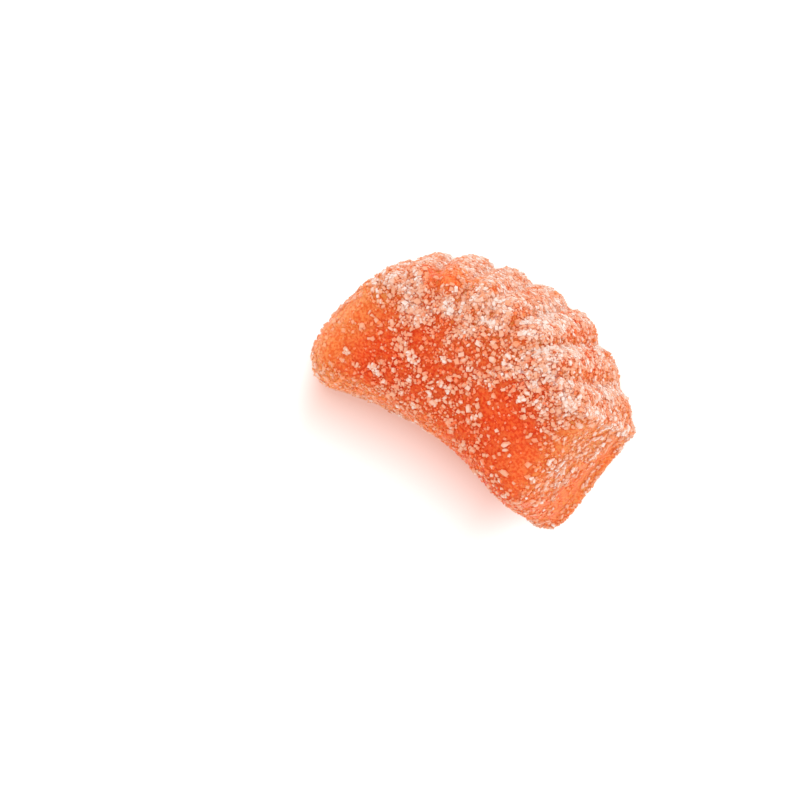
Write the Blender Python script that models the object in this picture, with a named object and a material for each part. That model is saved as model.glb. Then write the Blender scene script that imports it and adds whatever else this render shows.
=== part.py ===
"""A sugared jelly candy moulded as an orange slice.

One soft piece, cast in one mould: a flat poured base, a half-moon outline with a fluted
outer wall, two smooth sloping ends, a hollowed inner wall and a softly domed top that the
flutes run over. The largest sugar crystals are fused to it.

Metres, +Z up. The base lies on z = 0, and the origin is the middle of its footprint.
+X runs along the slice and +Y points to the fluted side.
"""

import math

import bpy
import bmesh
import numpy as np
from mathutils import Euler, Matrix

MM = 0.001

# ---- Outline of the jelly at its base, seen from above ----
# Pairs are (left end, right end), as no soft jelly keeps its two ends quite alike.
OUTER_RADIUS = 23.0 * MM
OUTER_CORNERS = (19.0 * MM, 18.8 * MM)   # from the middle to the two crisp outer corners
INNER_CORNERS = (20.0 * MM, 17.2 * MM)   # from the middle to the two rounded inner corners
END_EDGES = (16.8 * MM, 17.5 * MM)       # how far the ends run in from the outer corners
END_BULGES = (1.6 * MM, -0.4 * MM)       # the left end swells out, the right one is hollow
INNER_HOLLOW = 3.7 * MM                  # depth of the inner wall's hollow
CORNER_REACHES = (3.9 * MM, 6.0 * MM)    # how far an inner corner rounds off along each wall

# ---- Height and the slope of the walls ----
HEIGHT = 16.5 * MM               # to the edge of the top
DOME = 0.9 * MM                  # rise of the top's middle above its edge
OUTER_DRAFT = 1.4 * MM           # how far each wall leans in over the height
END_DRAFT = 3.9 * MM
INNER_DRAFT = 4.0 * MM
OUTER_SHOULDER = 2.8 * MM        # radius between each wall and the top
END_SHOULDER = 3.4 * MM
INNER_SHOULDER = 4.8 * MM
SPINE_REACH = 0.6                # the top's spine is this share of its length
SPINE_PLACE = 0.45               # and lies this share of the way from the inner wall
SHOULDER_TURN = math.radians(78) # where the shoulder meets the slope of the dome
FOOT_ROUNDING = 0.35 * MM
LIP_PROUD = 0.35 * MM            # thin lip of jelly round the poured base
LIP_TOP = 1.0 * MM               # it stands straight up to here
LIP_HEIGHT = 1.5 * MM            # and is back in the wall here

# ---- Flutes of the outer wall ----
FLUTES = 8
FLUTE_DEPTH = 1.2 * MM
FLUTE_END_DEPTH = 0.6            # share of the depth that is left towards the two ends
FLUTE_POWER = 2.2                # roundness of one lobe between its grooves
FLUTE_AT_BASE = 0.9              # share of the depth that is left at the base
FLUTE_SHIFT = 0.03               # share of the arc that the grooves lie nearer its left end
FLUTE_FADE = 0.42                # share of the way to the top's spine where they end
FLUTE_FADE_POWER = 1.6
FLUTE_MEAN = 0.6                 # part of the depth that lies inside the outline
LOBE_VARIATION = 0.18
SWELL_RISE = 0.45 * MM           # the wall swells out near its left end
SWELL_PLACE = 0.17               # share of the arc
SWELL_REACH = 0.20
CREST_RISE = 0.7 * MM            # the right outer corner stands out as a crest
CREST_REACH = 0.05               # share of the arc

# ---- Unevenness of the soft jelly ----
WAVE_HEIGHT = 0.16 * MM
WAVE_LENGTH = 11.0 * MM
WAVES = 7

# ---- Sugar crystals that are fused on ----
GRAINS = 155
GRAIN_LARGEST = 1.35 * MM
GRAIN_SMALLEST = 0.75 * MM
GRAIN_SIZE_POWER = 0.6           # below 1, few are near the largest size
GRAIN_SPACING = 1.5 * MM
GRAIN_SUNK = 0.30                # share of its height that a grain sinks in
GRAIN_SHAPE = (1.0, 0.80, 0.68)
GRAIN_SQUARENESS = 5.0           # 2 is round, more is closer to a block
GRAIN_TILT = 0.5                 # radians that a grain may lean
GRAIN_UNEVENNESS = 0.10
GRAIN_FLOOR_GAP = 1.1 * MM       # grains keep this far above the base
END_SUGAR = 0.35                 # how thickly grains lie on the ends, against the top
END_FACING = 0.72                # a face that looks this much along X is an end
INNER_SUGAR = 0.55
OUTER_SUGAR = 1.5
SEED = 11

# ---- Fineness of the mesh ----
STEPS_PER_FLUTE = 9
END_STEPS = 8
CORNER_STEPS = 5
INNER_STEPS = 16
WALL_RINGS = 5
SHOULDER_RINGS = 5
TOP_RINGS = 5
TOP_LAST = 0.86                  # share of the way to the spine of the last top ring
FLUTED_CORNER = 0.4              # share of an end wall that the outer shoulder turns over
SHARP_EDGE = math.radians(32)

JELLY_COLOUR = (0.86, 0.19, 0.045, 1.0)
JELLY_ROUGHNESS = 0.42


def clear_scene():
    for thing in list(bpy.data.objects):
        bpy.data.objects.remove(thing, do_unlink=True)


def smooth_step(x):
    x = np.clip(x, 0.0, 1.0)
    return x * x * (3.0 - 2.0 * x)


# ---------------------------------------------------------------- outline

def outline(outer_in, end_in, inner_in):
    """One ring seen from above, from the left outer corner over +Y and round.

    Each wall is moved inwards by its own amount, so that walls of different slope
    still meet in a clean edge.
    """
    radius = OUTER_RADIUS - outer_in

    def corners(side):
        """The outer and the inner corner of one end, as (distance from the middle, y)."""
        base_y = math.sqrt(OUTER_RADIUS ** 2 - OUTER_CORNERS[side] ** 2)
        outer_x = OUTER_CORNERS[side] - end_in
        outer_y = math.sqrt(radius ** 2 - outer_x ** 2)
        return (np.array([outer_x, outer_y]),
                np.array([INNER_CORNERS[side] - end_in, base_y - END_EDGES[side] + inner_in]))

    left_outer, left_inner = corners(0)
    right_outer, right_inner = corners(1)
    mirror = np.array([-1.0, 1.0])
    left_tip = left_inner * mirror

    def inner_point(v):
        """A point of the hollowed inner wall, from its left tip at v = 0 to the right."""
        v = np.asarray(v)[:, None]
        straight = left_tip * (1 - v) + right_inner * v
        return straight + np.array([0.0, INNER_HOLLOW]) * 4 * v * (1 - v)

    def side_points(side, outer_corner, inner_corner, wall_start):
        """An end wall and the rounding that joins it to the inner wall at wall_start."""
        length = np.linalg.norm(inner_corner - outer_corner)
        u = np.linspace(0, 1 - CORNER_REACHES[side] / length, END_STEPS + 1)[1:, None]
        bulge = np.array([END_BULGES[side], 0.0]) * 4 * u * (1 - u)
        end = outer_corner * (1 - u) + inner_corner * u + bulge
        t = np.linspace(0, 1, CORNER_STEPS + 1)[1:-1, None]
        turn = (1 - t) ** 2 * end[-1] + 2 * t * (1 - t) * inner_corner + t ** 2 * wall_start
        return np.vstack((end, turn))

    cuts = np.array(CORNER_REACHES) / np.linalg.norm(right_inner - left_tip)
    inner = inner_point(np.linspace(1 - cuts[1], cuts[0], INNER_STEPS + 1))
    right = side_points(1, right_outer, right_inner, inner[0])
    left = side_points(0, left_outer, left_inner, inner[-1] * mirror)[::-1] * mirror

    angle = np.linspace(-math.asin(left_outer[0] / radius), math.asin(right_outer[0] / radius),
                        FLUTES * STEPS_PER_FLUTE + 1)
    outer = radius * np.column_stack((np.sin(angle), np.cos(angle)))
    return np.vstack((outer, right, inner, left))


def wall_shares():
    """How far each point of a ring belongs to the outer wall, the ends and the inner wall."""
    outer_count = FLUTES * STEPS_PER_FLUTE + 1
    along_end = np.arange(1, END_STEPS + 1) / END_STEPS
    end_outer = 1 - smooth_step(along_end / FLUTED_CORNER)
    turn = smooth_step(np.linspace(0, 1, CORNER_STEPS + 1)[1:-1])
    side_outer = np.concatenate((end_outer, np.zeros(CORNER_STEPS - 1)))
    side_inner = np.concatenate((np.zeros(END_STEPS), turn))
    outer = np.concatenate((np.ones(outer_count), side_outer,
                            np.zeros(INNER_STEPS + 1), side_outer[::-1]))
    inner = np.concatenate((np.zeros(outer_count), side_inner,
                            np.ones(INNER_STEPS + 1), side_inner[::-1]))
    return outer, 1 - outer - inner, inner


def outward_normals(ring):
    along = np.roll(ring, -1, axis=0) - np.roll(ring, 1, axis=0)
    normal = np.column_stack((-along[:, 1], along[:, 0]))
    return normal / np.linalg.norm(normal, axis=1)[:, None]


# ---------------------------------------------------------------- relief

def flute_relief(random):
    """How far the outer wall's flutes stand in or out along its arc."""
    s = np.linspace(0, 1, FLUTES * STEPS_PER_FLUTE + 1)
    place = (s + FLUTE_SHIFT * np.sin(math.pi * s)) * FLUTES
    lobe = np.clip(place.astype(int), 0, FLUTES - 1)
    across = np.abs(2 * (place - lobe) - 1)
    tall = 1 + LOBE_VARIATION * random.uniform(-1, 1, FLUTES)
    deep = 1 - (1 - FLUTE_END_DEPTH) * (2 * s - 1) ** 2
    relief = (tall[lobe] * (1 - across ** FLUTE_POWER) - FLUTE_MEAN) * deep * FLUTE_DEPTH
    relief += SWELL_RISE * smooth_step(1 - np.abs(s - SWELL_PLACE) / SWELL_REACH)
    return relief + CREST_RISE * smooth_step(1 - (1 - s) / CREST_REACH)


def unevenness(points, random):
    """Soft low waves, the same for any point of space."""
    total = np.zeros(len(points))
    for _ in range(WAVES):
        direction = random.normal(size=3)
        direction /= np.linalg.norm(direction)
        phase = random.uniform(0, 2 * math.pi)
        total += np.sin(points @ direction * (2 * math.pi / WAVE_LENGTH) + phase)
    return WAVE_HEIGHT * total / math.sqrt(WAVES)


# ---------------------------------------------------------------- the jelly

def spine(ring):
    """The line inside the top that its rings close towards."""
    x = ring[:, 0] * SPINE_REACH
    outer_count = FLUTES * STEPS_PER_FLUTE + 1
    first_inner = outer_count + END_STEPS + CORNER_STEPS - 1
    outer = ring[:outer_count]
    inner = ring[first_inner:first_inner + INNER_STEPS + 1][::-1]
    y_outer = np.interp(x, outer[:, 0], outer[:, 1])
    y_inner = np.interp(x, inner[:, 0], inner[:, 1])
    return np.column_stack((x, SPINE_PLACE * y_outer + (1 - SPINE_PLACE) * y_inner))


def jelly_rings():
    """All rings of the jelly from the base to the top, each an array of points."""
    relief = flute_relief(np.random.default_rng(SEED))
    outer, end, inner = wall_shares()
    shoulder = outer * OUTER_SHOULDER + end * END_SHOULDER + inner * INNER_SHOULDER
    flutes = np.zeros(len(outer))
    flutes[:len(relief)] = relief
    lip_share = 1 - outer

    def ring_at(z, extra, turn, flute_share, lip=0.0):
        """A ring at the heights z, with each wall moved in by its draft and by extra."""
        z_wall = z if np.ndim(z) else np.full(len(outer), z)
        lean = z_wall / HEIGHT
        lean_outer = lean[0]
        lean_inner = lean[len(relief) + END_STEPS + CORNER_STEPS + INNER_STEPS // 2]
        lean_end = lean[len(relief) + END_STEPS - 1]
        flat = outline(OUTER_DRAFT * lean_outer + extra[0],
                       END_DRAFT * lean_end + extra[1],
                       INNER_DRAFT * lean_inner + extra[2])
        normal = outward_normals(flat)
        push = flutes * flute_share
        flat = flat + normal * (push * math.cos(turn) + lip * lip_share)[:, None]
        return np.column_stack((flat, z_wall + push * math.sin(turn)))

    radii = np.array([OUTER_SHOULDER, END_SHOULDER, INNER_SHOULDER])
    rings = [ring_at(0.0, np.full(3, FOOT_ROUNDING), 0.0, FLUTE_AT_BASE, LIP_PROUD),
             ring_at(FOOT_ROUNDING, np.zeros(3), 0.0, FLUTE_AT_BASE, LIP_PROUD),
             ring_at(LIP_TOP, np.zeros(3), 0.0, FLUTE_AT_BASE, LIP_PROUD)]
    for step in range(WALL_RINGS):
        up = step / (WALL_RINGS - 1)
        z = LIP_HEIGHT + (HEIGHT - shoulder - LIP_HEIGHT) * up
        rings.append(ring_at(z, np.zeros(3), 0.0, FLUTE_AT_BASE + (1 - FLUTE_AT_BASE) * up))
    for step in range(1, SHOULDER_RINGS + 1):
        turn = SHOULDER_TURN * step / SHOULDER_RINGS
        z = HEIGHT - shoulder * (1 - math.sin(turn))
        rings.append(ring_at(z, radii * (1 - math.cos(turn)), turn, 1.0))

    edge = rings[-1].copy()
    edge_flutes = flutes * math.sin(SHOULDER_TURN)
    edge[:, 2] -= edge_flutes
    goal = spine(edge[:, :2])
    for step in range(1, TOP_RINGS + 1):
        t = TOP_LAST * step / TOP_RINGS
        flat = edge[:, :2] * (1 - t) + goal * t
        rise = (HEIGHT + DOME - edge[:, 2]) * (1 - (1 - t) ** 2)
        fade = max(0.0, 1 - t / FLUTE_FADE) ** FLUTE_FADE_POWER
        rings.append(np.column_stack((flat, edge[:, 2] + rise + edge_flutes * fade)))
    return rings


def jelly_mesh():
    """The closed mesh of the jelly, with a flat base."""
    rings = jelly_rings()
    for number, ring in enumerate(rings):
        if number:
            wave = unevenness(ring, np.random.default_rng(SEED + 1))
            away = ring - np.array([0.0, OUTER_RADIUS / 2, HEIGHT / 2])
            away /= np.linalg.norm(away, axis=1)[:, None]
            lift = np.minimum(ring[:, 2] / LIP_HEIGHT, 1.0)
            ring += away * (wave * lift)[:, None]
    floor_plan = np.vstack(rings)[:, :2]
    middle = (floor_plan.min(axis=0) + floor_plan.max(axis=0)) / 2
    mesh = bmesh.new()
    loops = [[mesh.verts.new((*(point[:2] - middle), point[2])) for point in ring]
             for ring in rings]
    count = len(loops[0])
    for low, high in zip(loops, loops[1:]):
        for i in range(count):
            k = (i + 1) % count
            mesh.faces.new((low[i], low[k], high[k], high[i]))
    mesh.faces.new(loops[0])
    mesh.faces.new(loops[-1])
    bmesh.ops.triangulate(mesh, faces=mesh.faces[:])
    bmesh.ops.recalc_face_normals(mesh, faces=mesh.faces[:])
    return mesh


# ---------------------------------------------------------------- the sugar

def grain_weight(centre, normal):
    """How thickly sugar lies at a place: most on the flutes, least on the smooth ends."""
    if centre.z < GRAIN_FLOOR_GAP:
        return 0.0
    if abs(normal.x) > END_FACING:
        return END_SUGAR
    towards = OUTER_SUGAR if normal.y > 0 else INNER_SUGAR
    return 1.0 + (towards - 1.0) * abs(normal.y)


def grain_places(mesh, random):
    """Seeded places for the crystals, largest first, none too close to another."""
    faces = list(mesh.faces)
    weight = np.array([face.calc_area() * grain_weight(face.calc_center_median(), face.normal)
                       for face in faces])
    chance = weight / weight.sum()
    places = []
    while len(places) < GRAINS:
        face = faces[random.choice(len(faces), p=chance)]
        a, b, c = (vert.co for vert in face.verts)
        u, v = random.uniform(size=2)
        if u + v > 1:
            u, v = 1 - u, 1 - v
        spot = a + (b - a) * u + (c - a) * v
        if spot.z < GRAIN_FLOOR_GAP:
            continue
        if all((spot - other).length > GRAIN_SPACING for other, _ in places):
            places.append((spot, face.normal.copy()))
    return places


def grain_object(name, spot, normal, size, random, home):
    """One crystal: a squat uneven block with many facets, turned at random, half sunk."""
    mesh = bmesh.new()
    bmesh.ops.create_icosphere(mesh, subdivisions=1, radius=1.0)
    facing = Euler(random.uniform(0, 2 * math.pi, 3)).to_matrix()
    for vert in mesh.verts:
        way = facing @ vert.co
        reach = sum(abs(share) ** GRAIN_SQUARENESS for share in way) ** (1 / GRAIN_SQUARENESS)
        uneven = 1 + random.uniform(-GRAIN_UNEVENNESS, GRAIN_UNEVENNESS)
        vert.co = way / reach * uneven / 2
    lean = Euler(random.uniform(-GRAIN_TILT, GRAIN_TILT, 3)).to_matrix().to_4x4()
    spin = Matrix.Rotation(random.uniform(0, 2 * math.pi), 4, "Z")
    stand = normal.to_track_quat("Z", "Y").to_matrix().to_4x4()
    scale = Matrix.Diagonal((*(size * share for share in GRAIN_SHAPE), 1.0))
    centre = spot + normal * (size * GRAIN_SHAPE[2] * (0.5 - GRAIN_SUNK))
    mesh.transform(Matrix.Translation(centre) @ stand @ spin @ lean @ scale)
    data = bpy.data.meshes.new(name)
    mesh.to_mesh(data)
    mesh.free()
    grain = bpy.data.objects.new(name, data)
    home.objects.link(grain)


def fuse_sugar(body, jelly):
    """Joins all the crystals to the jelly with one union and applies it."""
    random = np.random.default_rng(SEED + 2)
    home = bpy.data.collections.new("sugar")
    bpy.context.scene.collection.children.link(home)
    places = grain_places(jelly, random)
    for number, (spot, normal) in enumerate(places):
        share = number / (len(places) - 1)
        size = GRAIN_LARGEST + (GRAIN_SMALLEST - GRAIN_LARGEST) * share ** GRAIN_SIZE_POWER
        grain_object(f"grain_{number:03d}", spot, normal, size, random, home)

    union = body.modifiers.new("fuse sugar", "BOOLEAN")
    union.operation = "UNION"
    union.operand_type = "COLLECTION"
    union.collection = home
    union.solver = "EXACT"
    graph = bpy.context.evaluated_depsgraph_get()
    fused = bpy.data.meshes.new_from_object(body.evaluated_get(graph))
    body.modifiers.clear()
    body.data = fused
    for grain in list(home.objects):
        bpy.data.objects.remove(grain, do_unlink=True)
    bpy.data.collections.remove(home)


def keep_largest_shell(body):
    """Drops loose scraps and fills any sealed hollow that the union left."""
    mesh = bmesh.new()
    mesh.from_mesh(body.data)
    unseen = set(mesh.verts)
    shells = []
    while unseen:
        stack = [unseen.pop()]
        shell = []
        while stack:
            vert = stack.pop()
            shell.append(vert)
            for edge in vert.link_edges:
                other = edge.other_vert(vert)
                if other in unseen:
                    unseen.remove(other)
                    stack.append(other)
        shells.append(shell)
    shells.sort(key=len)
    for shell in shells[:-1]:
        bmesh.ops.delete(mesh, geom=shell, context="VERTS")
    bmesh.ops.triangulate(mesh, faces=mesh.faces[:])
    mesh.to_mesh(body.data)
    mesh.free()


# ---------------------------------------------------------------- the part

def jelly_material():
    material = bpy.data.materials.new("sugared_jelly")
    material.use_nodes = True
    shader = material.node_tree.nodes["Principled BSDF"]
    shader.inputs["Base Color"].default_value = JELLY_COLOUR
    shader.inputs["Roughness"].default_value = JELLY_ROUGHNESS
    shader.inputs["Metallic"].default_value = 0.0
    return material


def make_slice():
    jelly = jelly_mesh()
    data = bpy.data.meshes.new("slice")
    jelly.to_mesh(data)
    body = bpy.data.objects.new("slice", data)
    bpy.context.scene.collection.objects.link(body)
    fuse_sugar(body, jelly)
    jelly.free()
    keep_largest_shell(body)
    body.data.materials.clear()
    body.data.materials.append(jelly_material())
    body.data.shade_smooth()
    body.data.set_sharp_from_angle(angle=SHARP_EDGE)


clear_scene()
make_slice()
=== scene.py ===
"""The look of a sugared jelly candy moulded as an orange slice.

The jelly is shaped by the same rules as its solid, only finer, and with the pebbled skin that
sugar leaves. Real crystals of several sizes are scattered over it: thickly on the fluted wall
and its shoulder, thinly on the two ends and along the hollowed side.
Metres, +Z up. The candy lies on z = 0, and +Y points to the fluted side.
"""

import math
from collections import namedtuple

import bmesh
import bpy
import numpy as np
from mathutils import Matrix, Vector, noise
from mathutils.bvhtree import BVHTree


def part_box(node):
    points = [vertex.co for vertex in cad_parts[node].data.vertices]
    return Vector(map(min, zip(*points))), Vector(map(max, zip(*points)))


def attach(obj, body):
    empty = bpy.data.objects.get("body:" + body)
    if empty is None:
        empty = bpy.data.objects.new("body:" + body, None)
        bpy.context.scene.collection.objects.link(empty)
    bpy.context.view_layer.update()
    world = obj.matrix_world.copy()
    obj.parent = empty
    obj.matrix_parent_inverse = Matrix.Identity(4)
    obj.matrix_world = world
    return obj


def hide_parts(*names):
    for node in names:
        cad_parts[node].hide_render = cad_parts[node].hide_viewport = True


MM = 0.001

# ---- The camera, which looks down on the candy as the photograph does ----
CAMERA_AIM = (-5.45 * MM, -7.31 * MM, 8.0 * MM)
CAMERA_DISTANCE = 230.2 * MM
CAMERA_AZIMUTH = math.radians(47.09)
CAMERA_ELEVATION = math.radians(70.10)
CAMERA_ROLL = math.radians(104.89)
CAMERA_FIELD = math.radians(23.9)
CAMERA_SENSOR = 36.0             # this one is in millimetres
CAMERA_NEAR = 10.0 * MM
PHOTO_SIDE = 800                 # pixels

# ---- Outline of the jelly at its base, seen from above ----
# Pairs are (left end, right end), as no soft jelly keeps its two ends quite alike.
OUTER_RADIUS = 23.0 * MM
OUTER_CORNERS = (19.0 * MM, 18.8 * MM)   # from the middle to the two crisp outer corners
INNER_CORNERS = (20.0 * MM, 17.2 * MM)   # from the middle to the two rounded inner corners
END_EDGES = (16.8 * MM, 17.5 * MM)       # how far the ends run in from the outer corners
END_BULGES = (1.6 * MM, -0.4 * MM)       # the left end swells out, the right one is hollow
INNER_HOLLOW = 3.7 * MM                  # depth of the inner wall's hollow
CORNER_REACHES = (3.9 * MM, 6.0 * MM)    # how far an inner corner rounds off along each wall
HALF_WIDTH = OUTER_RADIUS / 2            # from the middle of the slice nearly to its outer wall

# ---- Height and the slope of the walls ----
HEIGHT = 16.5 * MM               # to the edge of the top
DOME = 0.9 * MM                  # rise of the top's middle above its edge
OUTER_DRAFT = 1.4 * MM           # how far each wall leans in over the height
END_DRAFT = 3.9 * MM
INNER_DRAFT = 4.0 * MM
OUTER_SHOULDER = 2.8 * MM        # radius between each wall and the top
END_SHOULDER = 3.4 * MM
INNER_SHOULDER = 4.8 * MM
SPINE_REACH = 0.6                # the top's spine is this share of its length
SPINE_PLACE = 0.45               # and lies this share of the way from the inner wall
SHOULDER_TURN = math.radians(78) # where the shoulder meets the slope of the dome
FOOT_ROUNDING = 0.35 * MM
LIP_PROUD = 0.35 * MM            # thin lip of jelly round the poured base
LIP_TOP = 1.0 * MM               # it stands straight up to here
LIP_HEIGHT = 1.5 * MM            # and is back in the wall here

# ---- Flutes of the outer wall ----
FLUTES = 8
FLUTE_DEPTH = 1.2 * MM
FLUTE_END_DEPTH = 0.6            # share of the depth that is left towards the two ends
FLUTE_POWER = 2.2                # roundness of one lobe between its grooves
FLUTE_AT_BASE = 0.9              # share of the depth that is left at the base
FLUTE_SHIFT = 0.03               # share of the arc that the grooves lie nearer its left end
FLUTE_FADE = 0.42                # share of the way to the top's spine where they end
FLUTE_FADE_POWER = 1.6
FLUTE_MEAN = 0.6                 # part of the depth that lies inside the outline
LOBE_VARIATION = 0.18
FLUTED_CORNER = 0.4              # share of an end wall that the outer shoulder turns over
SWELL_RISE = 0.45 * MM           # the wall swells out near its left end
SWELL_PLACE = 0.17               # share of the arc
SWELL_REACH = 0.20
CREST_RISE = 0.7 * MM            # the right outer corner stands out as a crest
CREST_REACH = 0.05               # share of the arc

# ---- Unevenness of the soft jelly ----
WAVE_HEIGHT = 0.16 * MM
WAVE_LENGTH = 11.0 * MM
WAVES = 7
SEED = 11

# ---- The jelly's mesh ----
BODY_PIECE = "jelly_body"
STEPS_PER_FLUTE = 20
END_STEPS = 30
CORNER_STEPS = 12
INNER_STEPS = 60
WALL_RINGS = 16
SHOULDER_RINGS = 12
TOP_RINGS = 12
TOP_LAST = 0.90                  # share of the way to the spine of the last top ring
SKIN_FINENESS = 0.23 * MM

# ---- Noise, each kind given as its size, the distance of its lumps and its place ----
NOISE_GAIN = 1.6                 # brings the noise out to about -1 to 1
SKIN_SWELLS = (0.11 * MM, 3.2 * MM, 1.3)
SKIN_PEBBLES = (0.20 * MM, 1.15 * MM, 5.2)
SKIN_PITS = (0.07 * MM, 0.55 * MM, 7.9)
SUGAR_DRIFTS = (0.20, 5.0 * MM, 3.7)
SUGAR_BLOTCHES = (0.65, 1.3 * MM, 9.1)
DEPTH_CLOUDS = (0.12, 6.0 * MM, 4.4)

# Further down, a pair named FACING or SPAN says where a smooth rise from 0 to 1 starts, and
# how far it goes. For FACING it is how much a face looks along an axis.

# ---- Pebbled skin under the sugar ----
COAT = 0.16 * MM                 # the jelly lies this deep under its coat of sugar
UPRIGHT_STRETCH = 0.6            # the grain of the walls is taller than it is wide
LEAST_PEBBLED = 0.2              # share of the pebbles that is left where no sugar lies
STEEP_FACING = (0.5, 0.4)        # along X, on the ends
END_PEBBLES_LESS = 0.5           # shares by which the ends are smoother
END_PITS_LESS = 0.6
END_FROST_LESS = 0.6

# ---- How thickly sugar lies, where 1 is a full coat ----
OUTER_SUGAR = 0.85               # on the fluted wall
INNER_SUGAR = 0.25               # on the hollowed wall
END_SUGAR = 0.35                 # on the left end
RIGHT_END_SUGAR = 0.12           # and so much more on the right one
TOP_SUGAR = 0.30                 # on the inner side of the top
TOP_SUGAR_MORE = 0.62            # and so much more on its fluted side
TOP_SUGAR_SPAN = (-0.1, 0.9)     # in half widths
GROOVE_SUGAR = 0.32              # more in a groove than on a crest
GROOVES_SPAN = (16.0 * MM, 4.0 * MM)     # from the middle of the arc
LIP_SUGAR = 0.46                 # more catches on the lip of the base
LIP_SUGAR_TILT = 0.6             # share that is less at the right end, and more at the left
LIP_SUGAR_HEIGHT = 2.0 * MM
EDGE_SUGAR = 1.2                 # and on the edges between the outer wall and the ends
EDGE_REACH = 0.7 * MM
SUGAR_RANGE = (0.03, 1.35)

# ---- Patches of thin and thick sugar, as photograph pixel, radius, share that is left ----
PATCH_SPAN = (0.45, 0.8)         # a patch fades out here, in shares of its radius
THIN_PATCHES = (
    ((352, 330), 6.0 * MM, 0.45),    # the smooth left end
    ((372, 300), 3.5 * MM, 0.60),
    ((445, 270), 3.4 * MM, 0.12),    # one bare lobe
    ((445, 352), 5.0 * MM, 0.70),    # bare spots of the middle
    ((487, 349), 3.0 * MM, 0.45),
    ((500, 405), 3.5 * MM, 0.45),
    ((515, 455), 4.5 * MM, 0.30),
    ((595, 465), 5.5 * MM, 0.60),    # the smooth right end
    ((563, 503), 4.0 * MM, 0.50),
)
THICK_PATCHES = (
    ((560, 325), 6.0 * MM, 1.25),    # on the flutes
    ((400, 270), 3.0 * MM, 1.3),
    ((590, 418), 1.6 * MM, 1.1),     # along the edge of the right end
    ((606, 425), 1.5 * MM, 1.7),
    ((619, 430), 1.4 * MM, 1.8),
    ((597, 452), 1.6 * MM, 2.2),     # small blotches on the right end
    ((562, 468), 1.5 * MM, 2.4),
    ((555, 487), 1.3 * MM, 2.2),
    ((583, 437), 1.3 * MM, 1.8),
    ((600, 485), 1.3 * MM, 2.0),
)

# ---- How deep the jelly looks, from 0 at thin rims to 1 in the thick middle, with painted light and shade mixed in ----
DEEP_END = 17.5 * MM             # an end begins this far from the middle
DEEP_FADE = 9.0 * MM
END_DEPTH = 0.43                 # between the depths of the two ends
END_DEPTH_TILT = 0.22            # so much more at the right end, and less at the left
END_DEPTH_LEFT = -0.6            # but only this share of it at the left
OUTER_PALER = 0.5                # share by which the fluted side is less deep
RIGHT_FLUTES_DEEPER = 0.2
# painted shade: the left end's steep face, which lies in shade, gets a deeper, redder colour
LEFT_END_PAINTED_SHADE = 0.18
LEFT_END_SHADE_FACING = (0.6, 0.3)     # along -X
PALE_HEIGHT = 3.2 * MM           # light from the floor pales the jelly up to this height
RIM_PALER = 0.50                 # by this share
RIM_PALER_TILT = 0.22            # and by so much more at the left end
SIDE_FACING = (0.35, 0.5)        # along X for the ends and -Y for the hollow
END_PALER = 0.22                 # share by which light pales the ends
END_PALER_TILT = 0.06            # and so much more at the right one
END_PALE_FROM = -9.2 * MM        # it grows from here towards the fluted wall
HOLLOW_PALER = 0.45              # share by which it pales the left part of the hollow
HOLLOW_RIGHT_SPAN = (-9.0 * MM, 19.8 * MM)   # along the slice

# ---- Crystals ----
SHAPES = 32                      # different shapes of each sort, which all crystals share
SQUARENESS = 5.0                 # 2 is round, more is closer to a block
FACET_UNEVENNESS = 0.18
BLOCK_UNEVENNESS = 0.16
STRETCHES = (0.72, 1.28)         # least and most, for each of a crystal's three sizes
LEAN = 0.28                      # how far a crystal leans from the way the surface looks
SIZE_POWER = 2                   # above 1, few are near the largest size
FINE_LIMIT = 0.5 * MM            # smaller crystals are fewer on the ends
FOOT_TINT = -0.1                 # a crystal's foot takes the jelly's colour and its top is whitest: partly the jelly seen through it, partly painted light on its top and painted orange light on its shaded sides
FULL_SUGAR = 1.15                # from this share on, crystals are as white as they get
SQUAT = (1.0, 0.72, 0.55)
STOUT = (0.95, 0.82, 0.80)

# seeks: how strongly it gathers where sugar lies. sunk: share of its height under the skin.
# thin, thick: its tint where sugar lies thinly and thickly, 0 as the jelly and 1 white.
Kind = namedtuple("Kind", "name count seeks smallest largest faceted shape sunk thin thick spread")
KINDS = (
    Kind("sugar_skin", 15000, 1.5, 0.16 * MM, 0.28 * MM, False, STOUT, 0.50, 0.06, 0.70, 0.12),
    Kind("sugar_fine", 15000, 1.5, 0.20 * MM, 0.42 * MM, False, STOUT, 0.42, 0.02, 0.86, 0.16),
    Kind("sugar_medium", 3000, 0.9, 0.34 * MM, 0.60 * MM, False, STOUT, 0.40, 0.36, 0.82, 0.15),
    Kind("sugar_coarse", 520, 0.6, 0.50 * MM, 0.85 * MM, True, SQUAT, 0.38, 0.60, 0.84, 0.12),
)

# ---- Clumps of crystals, some of them at the photograph's own places ----
SCATTERED_CLUMPS = 45
SMALL_CLUMP = (4, 8)             # crystals in a scattered clump, up to but without the last
LARGE_CLUMP = (8, 14)            # and in one at the photograph's own places
CLUMP_SIZES = (0.32 * MM, 0.60 * MM)
CLUMP_STEP = 0.20 * MM           # from one crystal towards the next
CLUMP_SHAPE = (1.0, 0.80, 0.70)
CLUMP_SUNK = 0.25
CLUMP_TINT = (0.78, 0.12)        # mean and spread
CLUMP_PIXELS = (
    (413, 351), (419, 361), (445, 362), (444, 387), (510, 374), (545, 369), (524, 400),
    (372, 399), (347, 349), (378, 371), (374, 367), (570, 405), (381, 303), (508, 353),
    (475, 418), (503, 495), (413, 404), (440, 400), (561, 384), (575, 402), (600, 415),
    (559, 423), (579, 423), (591, 410), (608, 426), (620, 428), (600, 436), (589, 458),
    (553, 459), (550, 474), (576, 468), (545, 488), (582, 486), (614, 451), (508, 508),
    (534, 523), (562, 470), (597, 449),
)
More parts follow.
